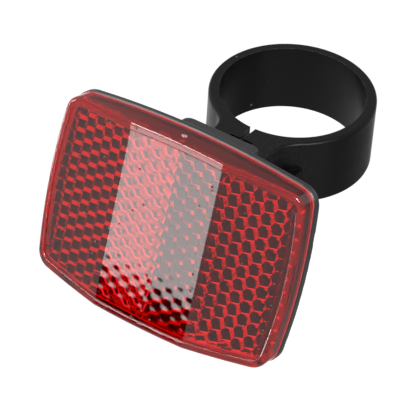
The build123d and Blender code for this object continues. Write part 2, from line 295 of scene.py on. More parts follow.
floor_mesh = bpy.data.meshes.new("floor")
floor_shape = bmesh.new()
bmesh.ops.create_grid(floor_shape, x_segments=1, y_segments=1, size=floor_reach)
bmesh.ops.translate(
    floor_shape, vec=(0, 0, cad_bounds[0][2] - floor_drop), verts=floor_shape.verts)
floor_shape.to_mesh(floor_mesh)
floor_shape.free()
floor = bpy.data.objects.new("floor", floor_mesh)
scene.collection.objects.link(floor)
white, white_shader = bare_material("floor_white", (0.9, 0.9, 0.9), 0.9)
white_shader.inputs["Emission Color"].default_value = (1, 1, 1, 1)
white_shader.inputs["Specular IOR Level"].default_value = 0
glow = white.node_tree.nodes.new("ShaderNodeMath")
glow.operation = "MULTIPLY"
glow.inputs[1].default_value = floor_glow
white.node_tree.links.new(seen_directly(white.node_tree), glow.inputs[0])
white.node_tree.links.new(glow.outputs["Value"], white_shader.inputs["Emission Strength"])
floor_mesh.materials.append(white)

card.data.materials.append(dull_grey("studio_black", 0.004))
disc_mesh.materials.append(dull_grey("camera_dim", 0.13))
studio_grey = dull_grey("studio_grey", 0.5)
for mesh in grey_cards:
    mesh.materials.append(studio_grey)
print("floor at", round(floor_mesh.vertices[0].co.z, 3), "m")

# %% [markdown]
# ## Effects that several finishes share
#
# Moulded plastic copies the fine spark-eroded grain of its mould. In use it collects dust and thin
# scuffs. Its rounded edges also get a painted highlight. These are small procedural patterns on
# Object coordinates, so each is made once as a node group that puts out a mask or a height, and
# every finish gives it a scale of its own.

# %% Helpers for node trees
def group_of(name, inputs, outputs):
    """An empty shader node group with float inputs, one vector and float outputs."""
    tree = bpy.data.node_groups.new(name, "ShaderNodeTree")
    tree.interface.new_socket("Vector", in_out="INPUT", socket_type="NodeSocketVector")
    for label in inputs:
        tree.interface.new_socket(label, in_out="INPUT", socket_type="NodeSocketFloat")
    for label in outputs:
        tree.interface.new_socket(label, in_out="OUTPUT", socket_type="NodeSocketFloat")
    return tree, tree.nodes.new("NodeGroupInput"), tree.nodes.new("NodeGroupOutput")


def feed(tree, source, socket):
    """Sets a socket to a number, tuple or another node's output."""
    if isinstance(source, bpy.types.NodeSocket):
        tree.links.new(source, socket)
    else:
        socket.default_value = source


def maths(tree, operation, *values):
    """A Math node's result."""
    node = tree.nodes.new("ShaderNodeMath")
    node.operation = operation
    for value, socket in zip(values, node.inputs):
        feed(tree, value, socket)
    return node.outputs["Value"]


def between(tree, value, low, high, to_low=0.0, to_high=1.0):
    """A value's place between two levels, clamped, as a number from to_low to to_high."""
    node = tree.nodes.new("ShaderNodeMapRange")
    for label, item in zip(("Value", "From Min", "From Max", "To Min", "To Max"),
                           (value, low, high, to_low, to_high)):
        feed(tree, item, node.inputs[label])
    return node.outputs["Result"]


def noise(tree, vector, scale, detail=2.0, roughness=0.5):
    """A Noise Texture's value."""
    node = tree.nodes.new("ShaderNodeTexNoise")
    for label, item in zip(("Vector", "Scale", "Detail", "Roughness"),
                           (vector, scale, detail, roughness)):
        feed(tree, item, node.inputs[label])
    return node.outputs["Fac"]


def stretched(tree, vector, stretch, turn):
    """Coordinates turned and then stretched along each axis."""
    node = tree.nodes.new("ShaderNodeMapping")
    feed(tree, vector, node.inputs["Vector"])
    node.inputs["Scale"].default_value = stretch
    node.inputs["Rotation"].default_value = turn
    return node.outputs["Vector"]


# %% Grain, scuffs and specks
grain, inside, result = group_of("mould_grain", ["Scale"], ["Height"])
fine = noise(grain, inside.outputs["Vector"], inside.outputs["Scale"], detail=3.0, roughness=0.6)
coarse_scale = maths(grain, "MULTIPLY", inside.outputs["Scale"], 0.2)
coarse = noise(grain, inside.outputs["Vector"], coarse_scale, detail=2.0)
height = maths(grain, "ADD", fine, maths(grain, "MULTIPLY", coarse, 0.6))
grain.links.new(height, result.inputs["Height"])

# A scuff is where a stretched noise crosses its middle value, inside a patch of another noise
line_width = 0.012
patch_level = 0.72
patch_spread = 0.25
patch_edge = 0.08

scuffs, inside, result = group_of("scuffs", ["Scale", "Amount"], ["Mask"])
lines = []
for stretch, turn in (((1, 9, 9), (0.3, 0.2, 0.5)), ((8, 1, 8), (0.6, 0.1, -0.3))):
    along = stretched(scuffs, inside.outputs["Vector"], stretch, turn)
    ridge = noise(scuffs, along, inside.outputs["Scale"], detail=2.0, roughness=0.7)
    ridge = maths(scuffs, "ABSOLUTE", maths(scuffs, "SUBTRACT", ridge, 0.5))
    lines.append(between(scuffs, ridge, 0.0, line_width, to_low=1.0, to_high=0.0))
patch_scale = maths(scuffs, "MULTIPLY", inside.outputs["Scale"], 0.25)
patches = noise(scuffs, inside.outputs["Vector"], patch_scale, detail=3.0)
spread = maths(scuffs, "MULTIPLY", inside.outputs["Amount"], patch_spread)
patch_from = maths(scuffs, "SUBTRACT", patch_level, spread)
worn = between(scuffs, patches, patch_from, maths(scuffs, "ADD", patch_from, patch_edge))
mask = maths(scuffs, "MULTIPLY", maths(scuffs, "MAXIMUM", *lines), worn)
scuffs.links.new(mask, result.inputs["Mask"])

# A speck is a soft dot in the middle of some of the cells of a Voronoi Texture
dot_core = 0.6

specks, inside, result = group_of("specks", ["Scale", "Size", "Amount"], ["Mask"])
cells = specks.nodes.new("ShaderNodeTexVoronoi")
specks.links.new(inside.outputs["Vector"], cells.inputs["Vector"])
specks.links.new(inside.outputs["Scale"], cells.inputs["Scale"])
core = maths(specks, "MULTIPLY", inside.outputs["Size"], dot_core)
dot = between(specks, cells.outputs["Distance"], core, inside.outputs["Size"], 1.0, 0.0)
tint = specks.nodes.new("ShaderNodeSeparateColor")
specks.links.new(cells.outputs["Color"], tint.inputs["Color"])
chosen = maths(specks, "LESS_THAN", tint.outputs["Red"], inside.outputs["Amount"])
specks.links.new(maths(specks, "MULTIPLY", dot, chosen), result.inputs["Mask"])

# Where a rounded-over normal differs from the true one, there is an edge, and this mask puts a
# painted highlight there, broken into patches
rounding_samples = 6
edge_agreement = 0.82
flat_agreement = 0.985

painted_edge_highlight, inside, result = group_of("painted_edge_highlight", ["Radius", "Scale"], ["Mask"])
rounded = painted_edge_highlight.nodes.new("ShaderNodeBevel")
rounded.samples = rounding_samples
painted_edge_highlight.links.new(inside.outputs["Radius"], rounded.inputs["Radius"])
true_normal = painted_edge_highlight.nodes.new("ShaderNodeNewGeometry")
agree = painted_edge_highlight.nodes.new("ShaderNodeVectorMath")
agree.operation = "DOT_PRODUCT"
painted_edge_highlight.links.new(rounded.outputs["Normal"], agree.inputs[0])
painted_edge_highlight.links.new(true_normal.outputs["Normal"], agree.inputs[1])
near_edge = between(painted_edge_highlight, agree.outputs["Value"], edge_agreement, flat_agreement, 1.0, 0.0)
patchy = noise(painted_edge_highlight, inside.outputs["Vector"], inside.outputs["Scale"], 4.0, 0.7)
broken = between(painted_edge_highlight, patchy, 0.38, 0.62)
painted_edge_highlight.links.new(maths(painted_edge_highlight, "MULTIPLY", near_edge, broken), result.inputs["Mask"])
print("groups:", grain.name, scuffs.name, specks.name, painted_edge_highlight.name)


# %% Placing a group and mixing finishes
def coordinates(tree):
    """Object coordinates."""
    return tree.nodes.new("ShaderNodeTexCoord").outputs["Object"]


def placed(tree, group, vector, **values):
    """A group's output in a material, with its inputs given by name."""
    node = tree.nodes.new("ShaderNodeGroup")
    node.node_tree = group
    feed(tree, vector, node.inputs["Vector"])
    for label, value in values.items():
        feed(tree, value, node.inputs[label])
    return node.outputs[0]


def blend_color(tree, mask, low, high):
    """A colour between two, by a mask."""
    node = tree.nodes.new("ShaderNodeMix")
    node.data_type = "RGBA"
    feed(tree, mask, node.inputs[0])
    for color, socket in zip((low, high), (node.inputs[6], node.inputs[7])):
        feed(tree, color if isinstance(color, bpy.types.NodeSocket) else (*color, 1), socket)
    return node.outputs[2]


def bump(tree, shader, height, distance):
    """Feeds a height in metres times distance to a shader's normal."""
    node = tree.nodes.new("ShaderNodeBump")
    node.inputs["Distance"].default_value = distance
    feed(tree, height, node.inputs["Height"])
    tree.links.new(node.outputs["Normal"], shader.inputs["Normal"])


def speckled(name, color, roughness, scale, detail, low, high):
    """A material whose colour goes between two by a fine noise."""
    material, shader = bare_material(name, color, roughness)
    tree = material.node_tree
    spots = noise(tree, coordinates(tree), scale, detail)
    tree.links.new(blend_color(tree, spots, low, high), shader.inputs["Base Color"])
    return material


# %% [markdown]
# ## Black plastics
#
# The band is taken to be glass-filled nylon: near black with a fine satin grain. The cover is a
# slightly glossier moulding. Both are almost all surface reflection, so what makes them look real
# is the roughness, which varies, light scuffs and dust on top, and a painted highlight along edges.

# %% Band and cover plastic
cloud_scale = 160.0
cloud_brightness = 1.35
cloud_roughness = 0.06
scuff_strength = 0.25
edge_highlight_strength = 0.7
mark_roughness = 0.2


def moulded_plastic(name, color, worn_and_highlight_color, roughness, specular, grain_scale, grain_depth, wear):
    """Near-black plastic with grain, scuffs, dust and a painted highlight along its edges."""
    material, shader = bare_material(name, color, roughness)
    tree = material.node_tree
    where = coordinates(tree)
    shader.inputs["Specular IOR Level"].default_value = specular
    scratches = placed(tree, scuffs, where, Scale=90.0, Amount=wear)
    dust = placed(tree, specks, where, Scale=420.0, Size=0.16, Amount=0.05)
    # Painted highlight: rounded edges are made paler, in patches, in the same colour as scuffs and
    # dust
    edge_highlight_mask = placed(tree, painted_edge_highlight, where, Radius=0.25 * MM, Scale=700.0)
    marks = maths(tree, "MAXIMUM", maths(tree, "MULTIPLY", scratches, scuff_strength), dust)
    marks = maths(tree, "MAXIMUM", marks, maths(tree, "MULTIPLY", edge_highlight_mask, edge_highlight_strength))
    cloudy = noise(tree, where, cloud_scale, detail=3.0)
    shade = blend_color(tree, cloudy, color, [cloud_brightness * c for c in color])
    tree.links.new(blend_color(tree, marks, shade, worn_and_highlight_color), shader.inputs["Base Color"])
    dull = between(
        tree, cloudy, 0.3, 0.7, roughness - cloud_roughness, roughness + cloud_roughness)
    tree.links.new(maths(tree, "ADD", dull, maths(tree, "MULTIPLY", marks, mark_roughness)),
                   shader.inputs["Roughness"])
    bump(tree, shader, placed(tree, grain, where, Scale=grain_scale), grain_depth)
    return material


# The paler colour of each is used for scuffs, dust and the painted edge highlight
band_plastic = moulded_plastic(
    "band_plastic", color=(0.003, 0.0027, 0.0027), worn_and_highlight_color=(0.16, 0.155, 0.15),
    roughness=0.36, specular=0.12, grain_scale=2600.0, grain_depth=8e-6, wear=0.5)
cover_plastic = moulded_plastic(
    "cover_plastic", color=(0.017, 0.017, 0.0195), worn_and_highlight_color=(0.12, 0.12, 0.12),
    roughness=0.34, specular=0.42, grain_scale=3200.0, grain_depth=6e-6, wear=0.4)
print("plastics:", band_plastic.name, cover_plastic.name)

# %% [markdown]
# ## Zinc-plated steel
#
# The photo doesn't show the screw and nut. They are taken to be turned steel with a thin bright
# zinc coat. Zinc shows a faint yellow and blue cast from its passivation, and the turning leaves
# rings round the screw's axis.

# %% Zinc steel
ring_scale = 1600.0
ring_depth = 4e-6

zinc_steel, zinc_shader = bare_material("zinc_steel", (0.62, 0.61, 0.58), 0.3)
tree = zinc_steel.node_tree
where = coordinates(tree)
zinc_shader.inputs["Metallic"].default_value = 1.0
cast = noise(tree, where, 420.0, detail=3.0)
bright = blend_color(tree, between(tree, cast, 0.35, 0.65), (0.56, 0.58, 0.61), (0.66, 0.63, 0.54))
scratches = placed(tree, scuffs, where, Scale=160.0, Amount=0.8)
tree.links.new(blend_color(tree, scratches, bright, (0.34, 0.34, 0.33)),
               zinc_shader.inputs["Base Color"])
tree.links.new(between(tree, noise(tree, where, 900.0, detail=4.0), 0.3, 0.7, 0.24, 0.42),
               zinc_shader.inputs["Roughness"])
turning = tree.nodes.new("ShaderNodeTexWave")
turning.wave_type = "BANDS"
turning.bands_direction = "X"
turning.inputs["Scale"].default_value = ring_scale
turning.inputs["Distortion"].default_value = 1.5
turning.inputs["Detail"].default_value = 2.0
tree.links.new(where, turning.inputs["Vector"])
bump(tree, zinc_shader, turning.outputs["Fac"], ring_depth)
print("metal:", zinc_steel.name)

# %% [markdown]
# ## Red acrylic
#
# The lens is one moulding of clear red acrylic. Its colour belongs to the light that goes through
# it, and not to its surface, so it is a plain clear shader with full transmission.
#
# The mirror image of a straight edge shows how flat a surface is. In the photo the softbox's lower
# edge is ragged, in steps as wide as a prism. Here that is put down to shallow dimples, which thick
# plastic could get over each prism as it cools and shrinks. The real cause isn't known. A depth of
# one and a half thousandths of a millimetre gives the same ragged line.
#
# The prisms stand in a honeycomb, and the height of its dimples is the sum of three cosine waves
# across the three directions of the honeycomb's columns.

# %% Where the lens lies, and its sizes
prism_pitch = 2.89 * MM
column_step = prism_pitch * math.sqrt(3) / 2
lean = math.radians(16.0)
hinge_depth = 18.7 * MM
hinge_height = 2.14 * MM
screw_at = Vector((0, -25.2, -3.3)) * MM
face_out = Vector((0, -math.cos(lean), math.sin(lean)))
face_up = Vector((0, math.sin(lean), math.cos(lean)))
face_middle = screw_at + face_out * hinge_depth - face_up * hinge_height

lens_half_width = 29.8 * MM
lens_half_height = 21.6 * MM
long_bow = 1.97 * MM
short_bow = 1.42 * MM
kink = 11.0 * MM
facet_slope = math.radians(11.6)
left_prism = (-5.18 * MM, 1.6 * MM)
right_prism = (5.27 * MM, 3.59 * MM)
print("lens", round(2 * lens_half_width / MM, 1), "by", round(2 * lens_half_height / MM, 1), "mm")

# %% A honeycomb of shallow dimples
honeycomb, inside, result = group_of("honeycomb_dimples", ["First Across", "First Up"], ["Height"])


def along_axis(tree, vector, axis):
    """A position's distance along a fixed direction."""
    node = tree.nodes.new("ShaderNodeVectorMath")
    node.operation = "DOT_PRODUCT"
    feed(tree, vector, node.inputs[0])
    node.inputs[1].default_value = axis
    return node.outputs["Value"]


height = 0.0
for turn in (0, 60, -60):
    angle = math.radians(turn)
    wave = Vector((math.cos(angle), 0, 0)) + face_up * math.sin(angle)
    wave *= 2 * math.pi / column_step
    phase = along_axis(honeycomb, inside.outputs["Vector"], wave)
    first = maths(honeycomb, "MULTIPLY", inside.outputs["First Across"], wave.x)
    first = maths(honeycomb, "ADD", first, maths(
        honeycomb, "MULTIPLY", inside.outputs["First Up"], wave.dot(face_up)))
    first = maths(honeycomb, "ADD", first, wave.dot(face_middle))
    swell = maths(honeycomb, "COSINE", maths(honeycomb, "SUBTRACT", phase, first))
    height = maths(honeycomb, "SUBTRACT", height, swell)
honeycomb.links.new(height, result.inputs["Height"])
print("dimples every", round(prism_pitch / MM, 2), "mm")

# %% Red acrylic
acrylic_red = (0.85, 0.01, 0.015)
dirt_color = (0.03, 0.002, 0.002)
dimple_depth = 1.5e-6
hair_depth = 3.0  # this and the next are multiples of the dimples' depth
pit_depth = 25.0
window_front = 7.3 * MM

red_acrylic, red_shader = bare_material("red_acrylic", acrylic_red, 0.0)
tree = red_acrylic.node_tree
where = coordinates(tree)
red_shader.inputs["Transmission Weight"].default_value = 1.0
red_shader.inputs["IOR"].default_value = 1.49
left_dimples, right_dimples = [
    placed(tree, honeycomb, where, **{"First Across": across, "First Up": up})
    for across, up in (left_prism, right_prism)
]
on_right = maths(tree, "GREATER_THAN", along_axis(tree, where, (1, 0, 0)), 0.0)
dimples = tree.nodes.new("ShaderNodeMix")
feed(tree, on_right, dimples.inputs[0])
feed(tree, left_dimples, dimples.inputs[2])
feed(tree, right_dimples, dimples.inputs[3])
depth_there = maths(tree, "SUBTRACT", along_axis(tree, where, face_out), face_out.dot(face_middle))
across = along_axis(tree, where, (1, 0, 0))
past_kink = maths(tree, "SUBTRACT", maths(tree, "ABSOLUTE", across), kink)
facet_drop = maths(tree, "MAXIMUM", past_kink, 0.0)
facet_drop = maths(tree, "MULTIPLY", facet_drop, math.tan(facet_slope))
level_there = maths(tree, "ADD", depth_there, facet_drop)
on_front = maths(tree, "GREATER_THAN", level_there, window_front)
pits = placed(tree, specks, where, Scale=420.0, Size=0.12, Amount=0.3)
hair = placed(tree, scuffs, where, Scale=110.0, Amount=0.35)
relief = maths(tree, "MULTIPLY", dimples.outputs[0], on_front)
for marks, depth in ((hair, hair_depth), (pits, pit_depth)):
    sunk = maths(tree, "MULTIPLY", maths(tree, "MULTIPLY", marks, on_front), depth)
    relief = maths(tree, "SUBTRACT", relief, sunk)
bump(tree, red_shader, relief, dimple_depth)
dirt = maths(tree, "MULTIPLY", pits, on_front)
tree.links.new(blend_color(tree, dirt, acrylic_red, dirt_color), red_shader.inputs["Base Color"])
print("clear red:", red_acrylic.name)

# %% [markdown]
# The side walls are made a little less polished than the window, so they glow where light comes
# through. The mask for them is how far a point lies inside the lens's bowed outline. The back of
# the wall gets an opaque red: a clear wall alone gave grey rims where the photo's glow red. That it
# is frosted by a weld to the cover is a guess.

# %% Satin walls and a red for the weld
wall_roughness = 0.1
wall_skin = 0.15 * MM
wall_fade = 0.7 * MM
dirt_roughness = 0.7


def short_of(tree, half, bow, other_half, other, own):
    """How far inside one bowed side of the lens a point lies."""
    share = maths(tree, "POWER", maths(tree, "DIVIDE", other, other_half), 2.0)
    side = maths(tree, "SUBTRACT", half, maths(tree, "MULTIPLY", share, bow))
    return maths(tree, "SUBTRACT", side, maths(tree, "ABSOLUTE", own))


up_there = maths(tree, "SUBTRACT", along_axis(tree, where, face_up), face_up.dot(face_middle))
wall_room = maths(
    tree, "MINIMUM",
    short_of(tree, lens_half_height, long_bow, lens_half_width - short_bow, across, up_there),
    short_of(tree, lens_half_width, short_bow, lens_half_height - long_bow, up_there, across),
)
satin = between(tree, wall_room, wall_skin, wall_fade, wall_roughness, 0.0)
matt = maths(tree, "ADD", satin, maths(tree, "MULTIPLY", dirt, dirt_roughness))
tree.links.new(matt, red_shader.inputs["Roughness"])
weld_red = speckled(
    "weld_red", color=(0.95, 0.16, 0.15), roughness=0.6, scale=1500.0, detail=3.0,
    low=(0.38, 0.03, 0.03), high=(0.62, 0.14, 0.13))
print("lens materials:", red_acrylic.name, weld_red.name)

# %% [markdown]
# ## Dressing the CAD pieces
#
# Each CAD piece comes as a node with a mesh, and one material goes on each.

# %% Dress the CAD pieces
finishes = {
    "clamp_band": band_plastic,
    "clamp_screw": zinc_steel,
    "clamp_nut": zinc_steel,
    "back_cover": cover_plastic,
    "lens": red_acrylic,
}
for name, material in finishes.items():
    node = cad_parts[name]
    node.data.materials.clear()
    node.data.materials.append(material)
    print(name, len(node.data.polygons), "faces:", material.name)

# %% [markdown]
# ## The prisms at the window's edge
#
# The CAD lens has only whole prisms, so a strip along the window's edge stays flat. In the photo
# the honeycomb runs on into the side walls, which cut the last prisms off. A prism is a hexagonal
# pin whose end is cut by the three planes of a cube corner, which `bisect_plane` does.
#
# There are four zones, and each turns and tips its cubes in its own way. The outer two lie on the
# side facets, which slope back from a kink.

# %% The zones of prisms
prism_level = 6.05 * MM
prism_step = 0.15 * MM
prism_top = 1.1 * MM
prism_rise = prism_pitch / math.sqrt(6)
prism_radius = prism_pitch / math.sqrt(3)
pin_spare = 1.5 * MM
saw_gap = 0.012 * MM
far = 60 * MM
window_corner = 2.7 * MM
whole_width = 27.56 * MM
whole_height = 19.1 * MM
wall_width = 28.2 * MM
wall_height = 19.5 * MM
right_end = 26.6 * MM
least_share = 0.9 * MM
zones = [
    {"turn": 60, "tilt": 9, "towards": 180, "first": (-19.55 * MM, 0.23 * MM),
     "low": -far, "high": -kink, "side": -1},
    {"turn": 0, "tilt": 12, "towards": 60, "first": left_prism,
     "low": -kink, "high": 0, "side": 0},
    {"turn": 60, "tilt": 6, "towards": 270, "first": right_prism,
     "low": 0, "high": kink, "side": 0},
    {"turn": 60, "tilt": 9, "towards": 285, "first": (18.99 * MM, -0.69 * MM),
     "low": kink, "high": far, "side": 1},
]


def cube_planes(turn, tilt, towards):
    """Unit normals of a cube corner's three faces, tipped towards a direction."""
    lay = Matrix.Rotation(math.acos(1 / math.sqrt(3)), 3, "Y")
    side = math.radians(towards)
    tip = Matrix.Rotation(math.radians(tilt), 3, Vector((-math.sin(side), math.cos(side), 0)))
    return [
        tip @ Matrix.Rotation(math.radians(turn + 120 * k), 3, "Z") @ lay @ Vector((0, 0, 1))
        for k in range(3)
    ]


def room_within(half_width, half_height, x, y):
    """How far a point lies below the top and short of the side of a bowed rectangle."""
    top = half_height - long_bow * (x / (half_width - short_bow)) ** 2
    side = half_width - short_bow * (y / (half_height - long_bow)) ** 2
    return top - abs(y), side - abs(x)


def in_window(x, y):
    """Whether a point lies in the area of the CAD lens's whole prisms, with its round corners."""
    top_normal = Vector((2 * long_bow / (whole_width - short_bow), 1)).normalized()
    side_normal = Vector((1, 2 * short_bow / (whole_height - long_bow))).normalized()
    centre = Vector((whole_width - short_bow, whole_height - long_bow))
    centre -= (top_normal + side_normal) * window_corner / (1 + top_normal.dot(side_normal))
    past = Vector((abs(x), abs(y))) - centre
    in_corner = past.x > top_normal.x * past.length and past.y > side_normal.y * past.length
    if in_corner and past.length > window_corner:
        return False
    return min(room_within(whole_width, whole_height, x, y)) > 0


def cut(shape, point, normal):
    """Cuts a closed convex shape with a plane, keeps the side the normal points to, closes it."""
    whole = shape.verts[:] + shape.edges[:] + shape.faces[:]
    out = bmesh.ops.bisect_plane(
        shape, geom=whole, plane_co=point, plane_no=normal, clear_inner=True)
    rim = [item for item in out["geom_cut"] if isinstance(item, bmesh.types.BMEdge)]
    if rim:
        bmesh.ops.holes_fill(shape, edges=rim, sides=0)


def add_pin(target, zone, planes, x, y, local):
    """Adds one cut prism at a cell whose middle is (x, y), and says if anything is left of it."""
    pin = bmesh.new()
    base = bmesh.ops.create_circle(pin, cap_ends=True, segments=6, radius=prism_radius - saw_gap)
    bmesh.ops.rotate(pin, matrix=Matrix.Rotation(math.radians(30), 3, "Z"), verts=base["verts"])
    deep = -2 * prism_rise - pin_spare
    bmesh.ops.translate(pin, vec=(0, 0, deep), verts=base["verts"])
    top = bmesh.ops.extrude_face_region(pin, geom=pin.faces[:])
    raised = [item for item in top["geom"] if isinstance(item, bmesh.types.BMVert)]
    bmesh.ops.translate(pin, vec=(0, 0, prism_top - deep), verts=raised)
    bmesh.ops.recalc_face_normals(pin, faces=pin.faces[:])
    for normal in planes:
        cut(pin, (0, 0, -2 * prism_rise), normal)
    bmesh.ops.transform(pin, matrix=local, verts=pin.verts[:])
    for edge, normal in ((zone["low"], (1, 0, 0)), (zone["high"], (-1, 0, 0))):
        if pin.verts:
            cut(pin, (edge + normal[0] * saw_gap, 0, 0), normal)
    bow_up = 2 * long_bow * x / (wall_width - short_bow) ** 2
    bow_out = 2 * short_bow * y / (wall_height - long_bow) ** 2
    up_room, out_room = room_within(wall_width, wall_height, x, y)
    up_sign, out_sign = math.copysign(1, y), math.copysign(1, x)
    if pin.verts:
        cut(pin, (x, y + up_sign * up_room, 0), (-bow_up, -up_sign, 0))
    if pin.verts:
        cut(pin, (x + out_sign * out_room, y, 0), (-out_sign, -bow_out, 0))
    if pin.verts:
        cut(pin, (right_end - short_bow * (y / wall_height) ** 2, 0, 0), (-1, 0, 0))
    if pin.faces:
        bmesh.ops.recalc_face_normals(pin, faces=pin.faces[:])
        piece = bpy.data.meshes.new("pin")
        pin.to_mesh(piece)
        target.from_mesh(piece)
        bpy.data.meshes.remove(piece)
    left = len(pin.faces) > 0
    pin.free()
    return left


print("zones:", len(zones))

# %% Cut prisms round the whole field
columns = range(-22, 23)
rows = range(-9, 10)

pins = bmesh.new()
tried = 0
count = 0
for zone in zones:
    planes = cube_planes(zone["turn"], zone["tilt"], zone["towards"])
    squeeze = math.cos(facet_slope * zone["side"])
    hinge = kink * zone["side"]
    first_x, first_y = zone["first"]
    for column in columns:
        for row in rows:
            across = column * column_step
            up = (row + 0.5 * (column % 2)) * prism_pitch
            x, y = first_x + across * squeeze, first_y + up
            if not zone["low"] - column_step < x < zone["high"] + column_step:
                continue
            corners = [
                (x + prism_radius * math.cos(math.radians(60 * k)) * squeeze,
                 y + prism_radius * math.sin(math.radians(60 * k)))
                for k in range(6)
            ]
            if all(in_window(*corner) for corner in corners):
                continue
            if min(room_within(wall_width, wall_height, x, y)) < -least_share:
                continue
            local = Matrix.Translation((hinge, 0, prism_level - prism_step))
            local @= Matrix.Rotation(facet_slope * zone["side"], 4, "Y")
            local @= Matrix.Translation(((first_x - hinge) / squeeze + across, first_y + up, 0))
            tried += 1
            if add_pin(pins, zone, planes, x, y, local):
                count += 1
face_frame = Matrix((
    (1, 0, 0, face_middle.x),
    (0, face_up.y, face_out.y, face_middle.y),
    (0, face_up.z, face_out.z, face_middle.z),
    (0, 0, 0, 1),
))
bmesh.ops.transform(pins, matrix=face_frame, verts=pins.verts[:])
print("cells:", tried, "- cut prisms left:", count, "with", len(pins.faces), "faces")

# %% [markdown]
# ## One lens from CAD and pins
#
# The CAD lens is copied, and its doubled vertices are merged. The inner edge of its rim then gets a
# small round. Those edges are the ones that turn sharply from a face that looks out to an upright
# one, and lie high enough. Both meshes are in millimetres from here until the Boolean is done.

# %% Round the rim's inner edge
merge_within = 5e-8
flat_within = math.radians(0.3)
turn_from = math.radians(60)
outward_from = 0.9
upright_to = 0.3
rim_level = 7.9 * MM
rim_round = 0.3 * MM
rim_segments = 4


def as_object(name, shape):
    """An object made from a bmesh, at the origin."""
    mesh = bpy.data.meshes.new(name)
    shape.to_mesh(mesh)
    shape.free()
    thing = bpy.data.objects.new(name, mesh)
    scene.collection.objects.link(thing)
    return thing


def faulty(shape):
    """How many of a bmesh's edges don't have exactly two faces."""
    return sum(1 for edge in shape.edges if not edge.is_manifold)


def level_at(place):
    """How far out a place lies from the lens's back, with the side facets' slope taken off."""
    point = place - face_middle
    return point.dot(face_out) + max(abs(point.x) - kink, 0) * math.tan(facet_slope)


merged = bmesh.new()
merged.from_mesh(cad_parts["lens"].data)
bmesh.ops.remove_doubles(merged, verts=merged.verts[:], dist=merge_within)
for shape in (merged, pins):
    bmesh.ops.scale(shape, vec=(1 / MM, 1 / MM, 1 / MM), verts=shape.verts[:])
faults = [faulty(merged)]
bmesh.ops.dissolve_limit(
    merged, angle_limit=flat_within, verts=merged.verts[:], edges=merged.edges[:])
rim_edges = []
for edge in merged.edges:
    if len(edge.link_faces) != 2 or edge.calc_face_angle(0) < turn_from:
        continue
    outs = sorted(face.normal.dot(face_out) for face in edge.link_faces)
    lowest = min(level_at(vert.co * MM) for vert in edge.verts)
    if outs[1] > outward_from and abs(outs[0]) < upright_to and lowest > rim_level:
        rim_edges.append(edge)
print("rim edges:", len(rim_edges))
bmesh.ops.bevel(
    merged, geom=rim_edges, offset=rim_round / MM, segments=rim_segments, profile=0.5,
    affect="EDGES", material=-1, clamp_overlap=True)
faults.append(faulty(merged))
print("edges without exactly two faces, merged and rounded:", faults)

# %% [markdown]
# An exact Boolean unites the pins with that copy. It leaves slivers of no width, open at their
# sides, and a merge over a tenth of a micrometre takes them away. One fault stays: near the upper
# edge of the window, in the zone left of the middle, some edges have three faces, so the mesh isn't
# a sound solid there. Many settings of the Boolean were tried against this, without success. The
# last line counts those edges.

# %% Join the pins to the lens
sliver_width = 0.0001  # in millimetres, as the meshes are here

base = as_object("lens_base", merged)
extra = as_object("lens_pins", pins)
union = base.modifiers.new("join", "BOOLEAN")
union.operation = "UNION"
union.solver = "EXACT"
union.object = extra
bpy.context.view_layer.update()
joined = bpy.data.meshes.new_from_object(base.evaluated_get(bpy.context.evaluated_depsgraph_get()))
bpy.data.objects.remove(base)
bpy.data.objects.remove(extra)
joined.name = "prism_lens"
seam = bmesh.new()
seam.from_mesh(joined)
bmesh.ops.remove_doubles(seam, verts=seam.verts[:], dist=sliver_width)
bmesh.ops.dissolve_degenerate(seam, dist=sliver_width, edges=seam.edges[:])
seam.to_mesh(joined)
seam.free()
joined.transform(Matrix.Scale(MM, 4))
joined.attributes.remove(joined.attributes["custom_normal"])
check = bmesh.new()
check.from_mesh(joined)
print("joined lens:", len(joined.polygons), "faces,", faulty(check),
      "edges without exactly two faces, volume", round(check.calc_volume() / MM ** 3, 1), "mm3")
check.free()

# %% [markdown]
# The joined lens takes two materials: clear red, and the weld's red on the back of its wall. Its
# shading is smooth but for sharp edges, and the kinks between the facets count as sharp although
# they are shallow. This lens then replaces the CAD one.

# %% Finish the joined lens
weld_from = 0.8
weld_level = 1 * MM
sharp_from = math.radians(24)
kink_width = 0.01 * MM

joined.materials.clear()
joined.materials.append(red_acrylic)
joined.materials.append(weld_red)
weld_faces = []
for face in joined.polygons:
    if face.normal.dot(face_out) > -outward_from:
        continue
    spots = [joined.vertices[k].co - face_middle for k in face.vertices]
    beside = min(
        max(abs(spot.x) / lens_half_width, abs(spot.dot(face_up)) / lens_half_height)
        for spot in spots
    )
    if beside > weld_from and max(spot.dot(face_out) for spot in spots) < weld_level:
        face.material_index = 1
        weld_faces.append(face)
print("weld faces:", len(weld_faces), "with",
      round(sum(face.area for face in weld_faces) / MM ** 2, 1), "mm2")
joined.shade_smooth()
joined.set_sharp_from_angle(angle=sharp_from)
for edge in joined.edges:
    ends = [abs(joined.vertices[k].co.x) for k in edge.vertices]
    if max(ends) - min(ends) < kink_width and abs(ends[0] - kink) < kink_width:
        edge.use_edge_sharp = True
prism_lens = bpy.data.objects.new("prism_lens", joined)
scene.collection.objects.link(prism_lens)
even = prism_lens.modifiers.new("even_normals", "WEIGHTED_NORMAL")
even.keep_sharp = True
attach(prism_lens, "reflector")
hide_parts("lens")
print("sharp edges:", sum(1 for edge in joined.edges if edge.use_edge_sharp))

# %% [markdown]
# ## The weld bead
#
# In the photo a bright red line runs between lens and cover. It is read here as a thin bead of
# acrylic, squeezed out where the lens is welded to the cover, where the light that runs down the
# wall comes out. That light is painted into the bead's opaque, bright red. The bead starts as the
# foot of the lens's own wall: those edges are extruded a little way up, moved out by a hair and
# given a thickness.

# %% Weld bead
bead_height = 0.42 * MM
bead_thickness = 0.12 * MM
bead_stand = 1.0016
bead_upright = 0.5
foot_level = 0.01 * MM

